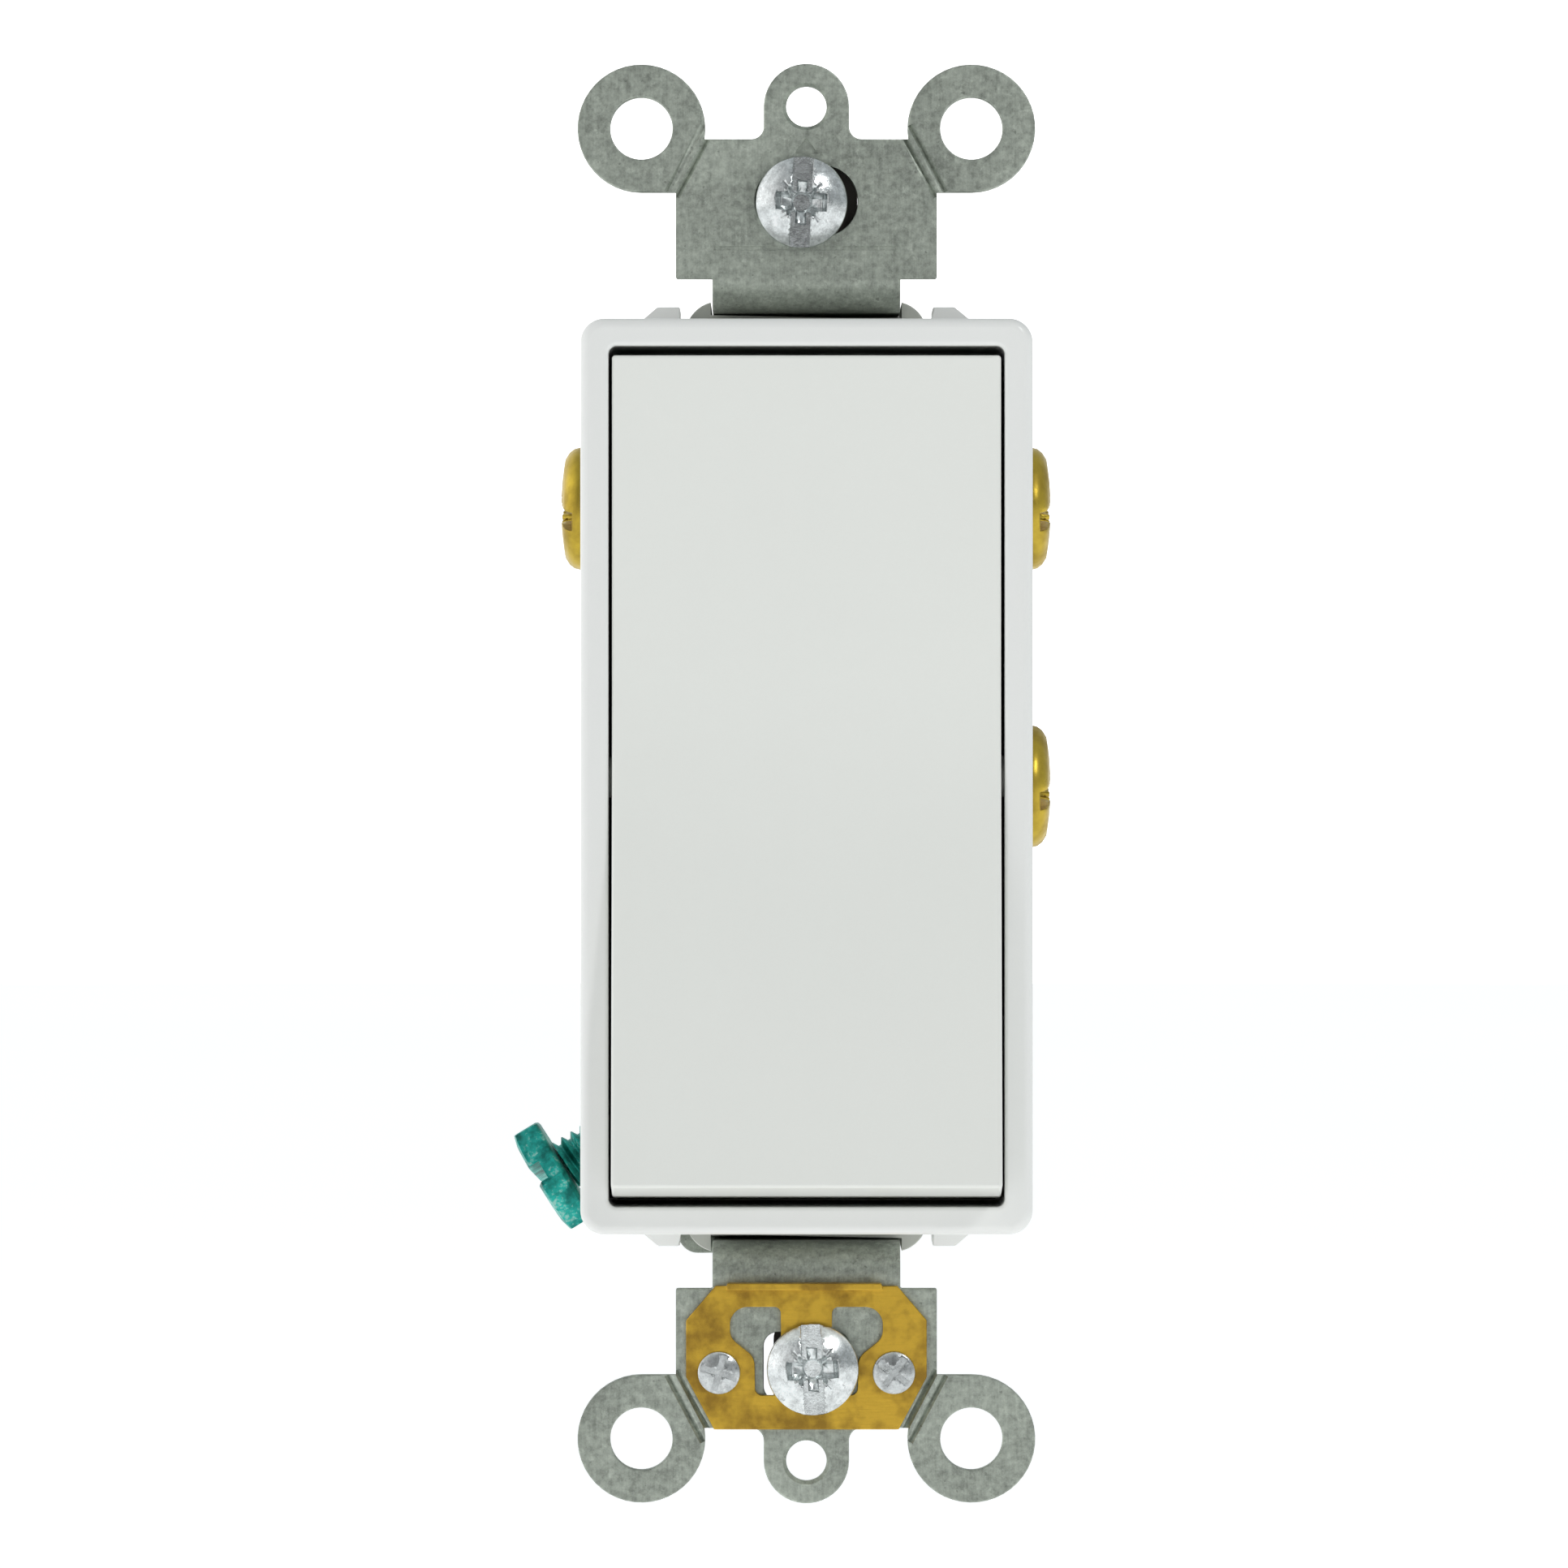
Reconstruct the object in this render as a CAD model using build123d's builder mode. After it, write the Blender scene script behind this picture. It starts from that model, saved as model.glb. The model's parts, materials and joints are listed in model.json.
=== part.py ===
from build123d import *
import os
from math import cos, radians, sin, sqrt

# A three-terminal paddle wall switch: a steel strap, a moulded body and bezel, a rocking
# paddle, the contact mechanism inside, and the screws that hold the wires and the device.
# Frame: +X right, +Y into the wall, +Z up.  The origin is the middle of the strap's back
# face, which lies on the wall.  All sizes are millimetres.

os.makedirs("parts", exist_ok=True)

# The body is modelled about z = 0 and sits a little above the strap's middle, so every
# piece is lifted by this much when it is saved, and the strap's ends are drawn lower.
body_rise = 0.5

# ---------- mounting strap ----------
strap_thickness = 1.2
neck_half_width = 6.72
plate_half_width = 9.33
plate_start = 36.1
plate_end = 46.08
device_screw_z = 41.67          # half the spacing of the two screws that go into the wall box
device_screw_drop = 0.15        # both sit this far below the middle of their slots
slot_length = 7.34
slot_width = 5.0
lower_slot_length = 6.1
lower_slot_width = 4.9
cover_screw_z = 48.42           # the two tapped holes for the cover plate
tab_radius = 3.05
tapped_hole_radius = 1.45       # 6-32 tapped hole
tapped_hole_mouth = 0.25        # countersink round its mouth
ear_x = 11.8
ear_z = 46.85
ear_radius = 4.57
ear_hole_radius = 2.23
leg_inner_z = 33.3              # inner face of the legs that run back past the housing
neck_bend_radius = 2.3
back_bend_radius = 2.0
score_half_width = 0.24
score_spacing = 0.75            # two parallel grooves with a ridge between them
coined_line_z = 38.28
coined_depth = 0.12

# ---------- ground tab and its screw ----------
ground_tilt = 31.4              # degrees that the screw points below the horizontal
ground_face_x = -13.7           # where the screw's axis leaves the tab's outer face
ground_face_z = -26.2
ground_y = 12.5
ground_tab_half_depth = 4.5
ground_tab_reach = 4.2
ground_standoff = 4.45          # bare thread between the tab and the head
ground_tip = 2.2                # thread past the tab's inner face

# ---------- bezel ----------
bezel_half_width = 16.05
bezel_half_length = 32.5
bezel_front_y = -7.2
bezel_step_y = 0.2
bezel_back_y = 3.0
bezel_corner = 1.7
opening_half_width = 14.05
opening_half_length = 30.54
opening_corner = 0.6
arm_x = 10.45                   # middle of each snap arm
arm_width = 2.8
arm_end_z = 33.63
arm_root_z = 31.85
arm_back_y = 7.2

# ---------- paddle ----------
pivot_y = -3.3
rocker_tilt = 4.25              # degrees either side of the middle
paddle_half_width = 13.8
paddle_half_length = 29.5       # at the front corners
paddle_knee_half_length = 29.95  # the end faces slope out to here and then run straight
paddle_knee_depth = 1.8         # in front of the pivot
paddle_corner_depth = 6.0       # front corners stand this far in front of the pivot
paddle_valley_radius = 90.0
paddle_skin = 1.8
paddle_skirt = 2.6              # the skirt ends this far behind the pivot
side_wall = 1.4
trunnion_radius = 1.5
trunnion_end = 15.2
trunnion_clearance = 0.05
tube_outer_radius = 3.1
tube_bore_radius = 2.1
tube_end = 7.5                  # measured from the pivot, into the body
tube_start = -1.0

# ---------- housing ----------
housing_half_width = 15.0
housing_half_length = 31.6
housing_back_y = 25.2
cover_front_y = 3.2
cover_back_y = 4.4
chamber_half_width = 7.6
chamber_half_length = 22.0
chamber_floor_y = 12.9
cheek_half_width = 8.7
cheek_end_z = 34.2
bay_floor_x = 12.0
bay_front_y = 6.0
bay_back_y = 20.5
bay_half_length = 5.6
screw_y = 13.0                  # depth of the terminal screws' axes
upper_terminal_z = 19.55
middle_terminal_z = -0.7
bays = {
    "common": (-1, upper_terminal_z),
    "upper_traveler": (1, upper_terminal_z),
    "lower_traveler": (1, middle_terminal_z),
}

# ---------- contact mechanism ----------
plunger_tip = 11.5              # distance of the plunger's tip from the paddle's pivot
plunger_radius = 2.05
plunger_gap = 0.1
arm_tilt = 7.0                  # degrees either side of the middle
arm_front = 1.5                 # the arm's front face stands this far before its pivot
arm_thickness = 0.8
contact_arm_half_length = 10.3
contact_arm_half_width = 2.5
fulcrum_radius = 0.7
contact_reach = 8.5
contact_radius = 1.5
contact_edge = 0.0
contact_crown = 0.3
contact_gap = 0.06
terminal_thickness = 0.8

# ---------- screws ----------
terminal_screw_radius = 2.08    # 8-32 thread
device_screw_radius = 1.75      # 6-32 thread
device_neck_radius = 1.35       # plain neck that spins in the washer
device_neck_end = 1.3
device_head_radius = 3.28
device_crown = 2.0
terminal_crown = 2.7
screw_head_gap = 0.05
clamp_inner_x = 14.1
clamp_outer_x = 15.1
plate_inner_x = 12.1
plate_outer_x = 13.0
clip_thickness = 0.5
rivet_x = 6.25                  # the two rivets that hold the clip to the lower plate
rivet_z = -42.1 - body_rise


# ---------- shared constructions ----------
def facing_front(y, x=0.0, z=0.0):
    """A plane at depth y whose normal faces the front, with X to its right and Z up."""
    return Plane(origin=(x, y, z), x_dir=(1, 0, 0), z_dir=(0, -1, 0))


def facing_side(side, x, y, z):
    """A plane at the distance x to one side whose normal points away from the middle."""
    return Plane(origin=(side * x, y, z), x_dir=(0, 1, 0), z_dir=(side, 0, 0))


def tilted_side(y, degrees):
    """A lengthwise plane turned about a pivot at depth y, with the body's depth as its x."""
    turn = radians(degrees)
    return Plane(origin=(0, y, 0), x_dir=(0, cos(turn), sin(turn)), z_dir=(1, 0, 0))


def block(x_range, y_range, z_range, mode=Mode.ADD):
    """A box given by its range along each axis."""
    ranges = (x_range, y_range, z_range)
    with Locations(tuple(sum(ends) / 2 for ends in ranges)):
        Box(*(abs(ends[1] - ends[0]) for ends in ranges), mode=mode)


def domed_turning(seat, steps, crown, mode=Mode.ADD):
    """Turn a stepped profile about the seat's normal, closed by a dome up to the crown."""
    rim_radius, rim_height = steps[-1]
    rise = crown - rim_height
    dome_radius = (rim_radius**2 + rise**2) / (2 * rise)
    half_way = rim_radius / 2
    dip = dome_radius - sqrt(dome_radius**2 - half_way**2)
    section = Plane(origin=seat.origin, x_dir=seat.x_dir, z_dir=-seat.y_dir)
    with BuildSketch(section) as profile:
        with BuildLine():
            Polyline((0, crown), (0, steps[0][1]), *steps)
            ThreePointArc(steps[-1], (half_way, crown - dip), (0, crown))
        make_face()
    revolve(profile.sketch, axis=Axis(seat.origin, seat.z_dir), mode=mode)


def driver_recess(seat, crown, turn, slot_width, slot_depth, reach, depth):
    """Cut a combination recess: a slot right across, a broad cross, a pit and four ticks."""
    with BuildSketch(seat.offset(crown - slot_depth)) as slot:
        Rectangle(20, slot_width, rotation=turn)
    extrude(slot.sketch, amount=slot_depth + 1, mode=Mode.SUBTRACT)
    with BuildSketch(seat.offset(crown - depth)) as cross:
        for arm in (0, 90):
            Rectangle(2 * reach - 0.9, 0.6, rotation=turn + arm)
        Rectangle(1.35, 1.35, rotation=turn)
    extrude(cross.sketch, amount=depth + 0.1, taper=-15, mode=Mode.SUBTRACT)
    with BuildSketch(seat.offset(crown - depth - 0.35)) as pit:
        Circle(0.6)
    extrude(pit.sketch, amount=0.5, taper=-25, mode=Mode.SUBTRACT)
    with BuildSketch(seat.offset(crown - depth / 4)) as ticks:
        with PolarLocations(1.75, 4, start_angle=turn + 45):
            Rectangle(0.75, 0.13)
    extrude(ticks.sketch, amount=depth, mode=Mode.SUBTRACT)


def save(part, name):
    """Lift a finished piece to its place on the strap, label it and write its own file."""
    lifted = Location((0, 0, body_rise)) * part
    lifted.label = name
    export_step(lifted, f"parts/{name}.step")


# ---------- mounting strap ----------
slope = radians(ground_tilt)
leg_outer_z = leg_inner_z + strap_thickness
ground_plane = Plane(
    origin=(ground_face_x, ground_y, ground_face_z),
    x_dir=(0, 1, 0),
    z_dir=(-cos(slope), 0, -sin(slope)),
)


def on_tab(inwards, z):
    """The point at height z on the tab's face, or on a line that far inwards of it."""
    start_x = ground_face_x + inwards * cos(slope)
    start_z = ground_face_z + inwards * sin(slope)
    return (start_x + (start_z - z) * sin(slope) / cos(slope), z)


def tab_tip(inwards):
    """The corner at the tab's free end, on its face or that far inwards of it."""
    start_x = ground_face_x + inwards * cos(slope)
    start_z = ground_face_z + inwards * sin(slope)
    return (start_x - ground_tab_reach * sin(slope), start_z + ground_tab_reach * cos(slope))


# The hoop is the strap seen from the side: front plates, legs and the bar over the back.
hoop_end = plate_end - 2 * body_rise
quarter_hoop = [
    (0, hoop_end, 0),
    (-strap_thickness, hoop_end, 0),
    (-strap_thickness, leg_inner_z, neck_bend_radius),
    (housing_back_y, leg_inner_z, back_bend_radius - strap_thickness),
]
quarter_return = [
    (housing_back_y + strap_thickness, leg_outer_z, back_bend_radius),
    (0, leg_outer_z, neck_bend_radius - strap_thickness),
]
inner_side = quarter_hoop + [(y, -z, r) for y, z, r in reversed(quarter_hoop)]
outer_side = [(y, -z, r) for y, z, r in reversed(quarter_return)] + quarter_return
hoop = inner_side + outer_side

with BuildPart() as mounting_strap:
    with BuildSketch(Plane.YZ):
        with BuildLine():
            corners = [(y, z) for y, z, r in hoop]
            FilletPolyline(*corners, radius=[r for y, z, r in hoop], close=True)
        make_face()
    extrude(amount=neck_half_width, both=True)
    for end in (1, -1):
        with BuildSketch(facing_front(0, z=-body_rise)) as end_plate:
            with Locations((0, end * (plate_start + plate_end) / 2)):
                Rectangle(2 * plate_half_width, plate_end - plate_start)
            with Locations((0, end * cover_screw_z)):
                Circle(tab_radius)
            with Locations((0, end * (plate_end + cover_screw_z) / 2)):
                Rectangle(2 * tab_radius, cover_screw_z - plate_end)
            roots = end_plate.vertices().filter_by(
                lambda v: abs(v.X) < tab_radius + 1 and abs(abs(v.Y) - plate_end) < 0.01
            )
            fillet(roots, 0.9)
            for side in (1, -1):
                with Locations((side * ear_x, end * ear_z)):
                    Circle(ear_radius)
                ear_overlap = ear_x - plate_half_width + 1
                with Locations((side * (ear_x - ear_overlap / 2), end * (ear_z - ear_radius / 2))):
                    Rectangle(ear_overlap, ear_radius)
                with Locations((side * ear_x, end * ear_z)):
                    Circle(ear_hole_radius, mode=Mode.SUBTRACT)
            with Locations((0, end * cover_screw_z)):
                Circle(tapped_hole_radius, mode=Mode.SUBTRACT)
        extrude(amount=strap_thickness)
        # the hoop runs under the plate, so the slot is cut through both
        with BuildSketch(facing_front(0, z=-body_rise)):
            with Locations((0, end * device_screw_z)):
                if end > 0:
                    SlotOverall(slot_length, slot_width)
                else:
                    RectangleRounded(lower_slot_length, lower_slot_width, 1.0)
        extrude(amount=strap_thickness, mode=Mode.SUBTRACT)
        rim = mounting_strap.edges().filter_by(
            lambda e: e.geom_type == GeomType.CIRCLE
            and abs(e.radius - tapped_hole_radius) < 0.01
            and abs(e.center().Y + strap_thickness) < 0.01
            and e.center().Z * end > 0
        )
        chamfer(rim, tapped_hole_mouth)
        # a double scored line lets each ear be snapped off
        for side in (1, -1):
            start = Vector(side * 7.06, -strap_thickness, end * 46.9 - body_rise)
            finish = Vector(side * 9.6, -strap_thickness, end * 42.1 - body_rise)
            score = Plane(origin=start, x_dir=(0, 1, 0), z_dir=finish - start)
            with BuildSketch(score):
                with Locations((0, -score_spacing / 2), (0, score_spacing / 2)):
                    RegularPolygon(score_half_width, 4)
            extrude(amount=(finish - start).length, mode=Mode.SUBTRACT)
    # a shallow coined line crosses the upper plate, and a small arrow shows which end is up
    line_z = coined_line_z - body_rise
    line_y = (-strap_thickness, coined_depth - strap_thickness)
    block((-6.6, 6.4), line_y, (line_z - 0.15, line_z + 0.15), mode=Mode.SUBTRACT)
    with BuildSketch(facing_front(-strap_thickness, z=-body_rise)):
        with BuildLine():
            Polyline((-0.85, 45.05), (0.85, 45.05), (0, 46.2), close=True)
        make_face()
    extrude(amount=-2 * coined_depth, mode=Mode.SUBTRACT)
    # the ground tab turns up and outwards from the lower leg
    with BuildSketch(facing_front(ground_y + ground_tab_half_depth)):
        with BuildLine():
            FilletPolyline(
                (-neck_half_width + 1, -leg_outer_z),
                on_tab(0, -leg_outer_z),
                tab_tip(0),
                tab_tip(strap_thickness),
                on_tab(strap_thickness, -leg_inner_z),
                (-neck_half_width + 1, -leg_inner_z),
                radius=[0, 1.4, 0, 0, 0.3, 0],
                close=True,
            )
        make_face()
    extrude(amount=2 * ground_tab_half_depth)
    with BuildSketch(ground_plane):
        Circle(terminal_screw_radius + 0.04)
    extrude(amount=-strap_thickness - 1, mode=Mode.SUBTRACT)
    # holes for the clip's rivets and the rivets through the back bar
    with Locations(*[facing_front(0, side * rivet_x, rivet_z) for side in (1, -1)]):
        Hole(1.0)
    with Locations(*[facing_front(housing_back_y, 0, side * 20.0) for side in (1, -1)]):
        Cylinder(1.5, 4, mode=Mode.SUBTRACT)
save(mounting_strap.part, "mounting_strap")

# ---------- bezel ----------
with BuildPart() as front_bezel:
    with BuildSketch(facing_front(bezel_step_y)):
        RectangleRounded(2 * bezel_half_width, 2 * bezel_half_length, bezel_corner)
        RectangleRounded(
            2 * opening_half_width, 2 * opening_half_length, opening_corner, mode=Mode.SUBTRACT
        )
    extrude(amount=bezel_step_y - bezel_front_y)
    front = front_bezel.faces().sort_by(Axis.Y)[0]
    fillet(front.outer_wire().edges(), 0.7)
    front = front_bezel.faces().sort_by(Axis.Y)[0]
    fillet(front.inner_wires()[0].edges(), 0.3)
    with BuildSketch(facing_front(bezel_back_y)):
        RectangleRounded(2 * bezel_half_width, 2 * bezel_half_length, bezel_corner)
        Rectangle(2 * housing_half_width + 0.3, 2 * housing_half_length + 0.3, mode=Mode.SUBTRACT)
    extrude(amount=bezel_back_y - bezel_step_y)
    # snap arms reach back over the housing's ends, each with a window for a catch
    for side in (1, -1):
        for end in (1, -1):
            inner = side * (arm_x - arm_width / 2)
            outer = side * (arm_x + arm_width / 2)
            with BuildSketch(facing_front(arm_back_y)):
                with BuildLine():
                    Polyline(
                        (inner, end * arm_root_z),
                        (inner, end * arm_end_z),
                        (side * (arm_x + 0.2), end * arm_end_z),
                        (outer, end * (bezel_half_length + 0.1)),
                        (outer, end * arm_root_z),
                        close=True,
                    )
                make_face()
            extrude(amount=arm_back_y)
            window = (side * (arm_x - 0.75), side * (arm_x + 0.75))
            block(window, (3.8, 6.2), (end * 31, end * 35), mode=Mode.SUBTRACT)
    with Locations(Plane(origin=(0, pivot_y, 0), z_dir=(1, 0, 0))):
        bore_radius = trunnion_radius + trunnion_clearance
        Cylinder(bore_radius, 2 * trunnion_end + 0.3, mode=Mode.SUBTRACT)
save(front_bezel.part, "front_bezel")

# ---------- paddle ----------
rocker_side = tilted_side(pivot_y, -rocker_tilt)
rocker_turn = radians(-rocker_tilt)
valley_rise = paddle_half_length * sin(radians(rocker_tilt)) / cos(radians(rocker_tilt))
valley_depth = paddle_corner_depth - valley_rise
tube_plane = Plane(
    origin=(0, pivot_y, 0), x_dir=(1, 0, 0), z_dir=(0, cos(rocker_turn), sin(rocker_turn))
)


def paddle_profile(inset):
    """The paddle's side outline, or the hollow under its skin when inset is the skin."""
    corner_depth = paddle_corner_depth - inset
    corner = paddle_half_length - inset
    knee = paddle_knee_half_length - inset
    end_face = [(-paddle_knee_depth, knee), (paddle_skirt, knee)]
    with BuildSketch(rocker_side) as outline:
        with BuildLine():
            FilletPolyline(
                (-corner_depth, -corner),
                (inset - valley_depth, 0),
                (-corner_depth, corner),
                radius=paddle_valley_radius + inset,
            )
            far_end = [(depth, -z) for depth, z in reversed(end_face)]
            Polyline((-corner_depth, corner), *end_face, *far_end, (-corner_depth, -corner))
        make_face()
    return outline.sketch


with BuildPart() as rocker_paddle:
    extrude(paddle_profile(0), amount=paddle_half_width, both=True)
    front_edges = rocker_paddle.edges().filter_by(
        lambda e: rocker_side.to_local_coords(e.center()).X < -paddle_knee_depth - 0.2
    )
    fillet(front_edges, 0.25)
    hollow = paddle_half_width - side_wall
    extrude(paddle_profile(paddle_skin), amount=hollow, both=True, mode=Mode.SUBTRACT)
    # two ribs stiffen the skin either side of the spring tube
    for side in (1, -1):
        with BuildSketch(rocker_side.offset(side * 6.0 - 0.5)):
            with Locations(((0.5 - valley_depth) / 2, 0)):
                Rectangle(valley_depth - 0.5, 2 * paddle_half_length - 3)
        extrude(amount=1.0)
    with BuildSketch(tube_plane.offset(-valley_depth + 1)):
        Circle(tube_outer_radius)
    extrude(amount=tube_end + valley_depth - 1)
    with BuildSketch(tube_plane.offset(tube_start)):
        Circle(tube_bore_radius)
    extrude(amount=tube_end - tube_start + 1, mode=Mode.SUBTRACT)
    for side in (1, -1):
        with BuildSketch(facing_side(side, paddle_half_width - side_wall, pivot_y, 0)):
            Circle(trunnion_radius)
        extrude(amount=trunnion_end - paddle_half_width + side_wall)
save(rocker_paddle.part, "rocker_paddle")

# ---------- rear housing ----------
with BuildPart() as rear_housing:
    block(
        (-housing_half_width, housing_half_width),
        (bezel_step_y, housing_back_y),
        (-housing_half_length, housing_half_length),
    )
    fillet(rear_housing.edges().filter_by(Axis.Y), 0.8)
    fillet(rear_housing.faces().sort_by(Axis.Y)[-1].edges(), 0.6)
    # cheeks at both ends, with a channel between them for the strap's leg
    with BuildSketch(facing_front(22.0)):
        RectangleRounded(2 * cheek_half_width, 2 * cheek_end_z, 2.4)
    extrude(amount=22.0 - cover_front_y)
    channel = neck_half_width + 0.15
    for end in (1, -1):
        block((-channel, channel), (0, 26), (end * 33.05, end * 36), mode=Mode.SUBTRACT)
        for side in (1, -1):
            catch = (side * (arm_x - 0.6), side * (arm_x + 0.6))
            block(catch, (4.0, 6.0), (end * 31.2, end * 32.8))
    # the front pocket takes the cover, and the chamber below it the contacts
    pocket_x = (-opening_half_width, opening_half_width)
    pocket_z = (-opening_half_length, opening_half_length)
    block(pocket_x, (0, cover_back_y), pocket_z, mode=Mode.SUBTRACT)
    block(
        (-chamber_half_width, chamber_half_width),
        (cover_back_y, chamber_floor_y),
        (-chamber_half_length, chamber_half_length),
        mode=Mode.SUBTRACT,
    )
    # one open bay for each terminal, and the unused one left shallow
    for side, z in bays.values():
        bay_z = (z - bay_half_length, z + bay_half_length)
        bay_x = (side * bay_floor_x, side * 16)
        block(bay_x, (bay_front_y, bay_back_y), bay_z, mode=Mode.SUBTRACT)
        slit_x = (side * bay_floor_x, side * (plate_outer_x + 0.1))
        block(slit_x, (cover_back_y, bay_front_y), bay_z, mode=Mode.SUBTRACT)
        with BuildSketch(facing_side(side, 8.6, screw_y, z)):
            Circle(2.4)
        extrude(amount=bay_floor_x - 8.6, mode=Mode.SUBTRACT)
        for offset in (-3.6, 3.6):
            wire_x = (side * 12.6, side * 16)
            wire_z = (z + offset - 1.2, z + offset + 1.2)
            block(wire_x, (bay_back_y, 26), wire_z, mode=Mode.SUBTRACT)
        link_z = -4.4 if z == middle_terminal_z else 15.6   # the terminal's strip runs here
        link_x = (side * chamber_half_width, side * bay_floor_x)
        block(link_x, (cover_back_y, chamber_floor_y), (link_z - 1, link_z + 1), mode=Mode.SUBTRACT)
    blank_z = (middle_terminal_z - bay_half_length, middle_terminal_z + bay_half_length)
    block((-16, -14), (bay_front_y, bay_back_y), blank_z, mode=Mode.SUBTRACT)
    # the lower left corner is cut away for the ground tab and the tip of its screw
    with BuildSketch(facing_front(ground_y + ground_tab_half_depth + 0.5)):
        with BuildLine():
            Polyline(on_tab(1.5, -45), on_tab(1.5, -18), (-30, -18), (-30, -45), close=True)
        make_face()
    extrude(amount=2 * ground_tab_half_depth + 1, mode=Mode.SUBTRACT)
    block((-9, -6.5), (7.5, 17.5), (-36, -33.05), mode=Mode.SUBTRACT)
    with BuildSketch(ground_plane):
        Circle(2.5)
    extrude(amount=-strap_thickness - ground_tip - 0.7, mode=Mode.SUBTRACT)
    with Locations(*[facing_front(housing_back_y, 0, side * 20.0) for side in (1, -1)]):
        Cylinder(1.5, 16.4, mode=Mode.SUBTRACT)
save(rear_housing.part, "rear_housing")

# ---------- chamber cover and the paddle's stop pads ----------
with BuildPart() as chamber_cover:
    cover_x = opening_half_width - 0.15
    cover_z = opening_half_length - 0.15
    block((-cover_x, cover_x), (cover_front_y, cover_back_y), (-cover_z, cover_z))
    block((-3.6, 3.6), (3, 5), (-4.4, 4.4), mode=Mode.SUBTRACT)
    fillet(chamber_cover.edges().filter_by(Axis.Y), 0.5)
save(chamber_cover.part, "chamber_cover")

with BuildPart() as bumper_pads:
    for end in (1, -1):
        block((-13.6, 13.6), (1.35, cover_front_y), (end * 23.0, end * 25.0))
    fillet(bumper_pads.edges().filter_by(Axis.Y), 0.5)
save(bumper_pads.part, "bumper_pads")

# ---------- plunger and spring inside the paddle's tube ----------
with BuildPart() as spring_plunger:
    shoulder = plunger_tip - plunger_radius
    domed_turning(tube_plane, [(plunger_radius, 3.6), (plunger_radius, shoulder)], plunger_tip)
    with BuildSketch(tube_plane.offset(3.0)):
        Circle(1.5)
    extrude(amount=6.0, mode=Mode.SUBTRACT)
save(spring_plunger.part, "spring_plunger")

with BuildPart() as plunger_spring:
    with BuildSketch(tube_plane.offset(tube_start)):
        Circle(1.4)
        Circle(1.0, mode=Mode.SUBTRACT)
    extrude(amount=7.7 - tube_start)
save(plunger_spring.part, "plunger_spring")

# ---------- contact arm ----------
fulcrum_y = pivot_y + plunger_tip + arm_front + plunger_gap
arm_side = tilted_side(fulcrum_y, arm_tilt)
arm_turn = radians(arm_tilt)
arm_back = -arm_front + arm_thickness


def contact_seat(end):
    """The plane of a moving contact, at the arm's pivot depth, facing the terminals."""
    along = Vector(0, -sin(arm_turn), cos(arm_turn)) * (end * contact_reach)
    depth = Vector(0, cos(arm_turn), sin(arm_turn))
    return Plane(origin=Vector(0, fulcrum_y, 0) + along, x_dir=(1, 0, 0), z_dir=depth)


with BuildPart() as contact_arm:
    with BuildSketch(arm_side):
        with Locations((-arm_front + arm_thickness / 2, 0)):
            Rectangle(arm_thickness, 2 * contact_arm_half_length)
    extrude(amount=contact_arm_half_width, both=True)
    fillet(contact_arm.edges().filter_by(lambda e: abs(e.center().Z) > 8 and e.length < 1), 0.35)
    for side in (1, -1):
        with BuildSketch(facing_side(side, 1.7, fulcrum_y, 0)):
            Circle(1.5)
        extrude(amount=0.8)
    with Locations(Plane(origin=(0, fulcrum_y, 0), z_dir=(1, 0, 0))):
        Cylinder(fulcrum_radius + 0.05, 10, mode=Mode.SUBTRACT)
    for end in (1, -1):
        with BuildSketch(contact_seat(end).offset(-arm_front)):
            Circle(0.8)
        extrude(amount=arm_thickness, mode=Mode.SUBTRACT)
save(contact_arm.part, "contact_arm")

with BuildPart() as moving_contacts:
    for end in (1, -1):
        rivet = [(1.2, -arm_front - 0.4), (1.2, -arm_front), (0.8, -arm_front)]
        seated = [(0.8, arm_back), (contact_radius, arm_back), (contact_radius, contact_edge)]
        domed_turning(contact_seat(end), rivet + seated, contact_crown)
save(moving_contacts.part, "moving_contacts")

# The closed contact's dome touches down at its lowest point, below the contact's own axis.
contact_dome = (contact_radius**2 + (contact_crown - contact_edge) ** 2) / (
    2 * (contact_crown - contact_edge)
)
dome_centre = contact_crown - contact_dome
closed_y = (
    fulcrum_y + dome_centre * cos(arm_turn) + contact_reach * sin(arm_turn) + contact_dome
)
closed_z = contact_reach * cos(arm_turn) - dome_centre * sin(arm_turn)
strip_front_y = chamber_floor_y - terminal_thickness

with BuildPart() as fixed_contacts:
    for end in (1, -1):
        with BuildSketch(facing_front(strip_front_y, 0, end * closed_z)):
            Circle(1.7)
        extrude(amount=strip_front_y - closed_y - contact_gap)
save(fixed_contacts.part, "fixed_contacts")


# ---------- terminals ----------
def strip(x_range, z_range):
    """A flat run of a terminal, lying on the chamber's floor."""
    block(x_range, (strip_front_y, chamber_floor_y), z_range)


def screw_plate(side, z):
    """The terminal's plate in its bay, tapped for the wire screw."""
    block((side * plate_inner_x, side * plate_outer_x), (4.6, 20.3), (z - 5.4, z + 5.4))
    with BuildSketch(facing_side(side, plate_inner_x - 0.5, screw_y, z)) as tapping:
        Circle(terminal_screw_radius + 0.04)
    extrude(tapping.sketch, amount=2, mode=Mode.SUBTRACT)


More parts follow.
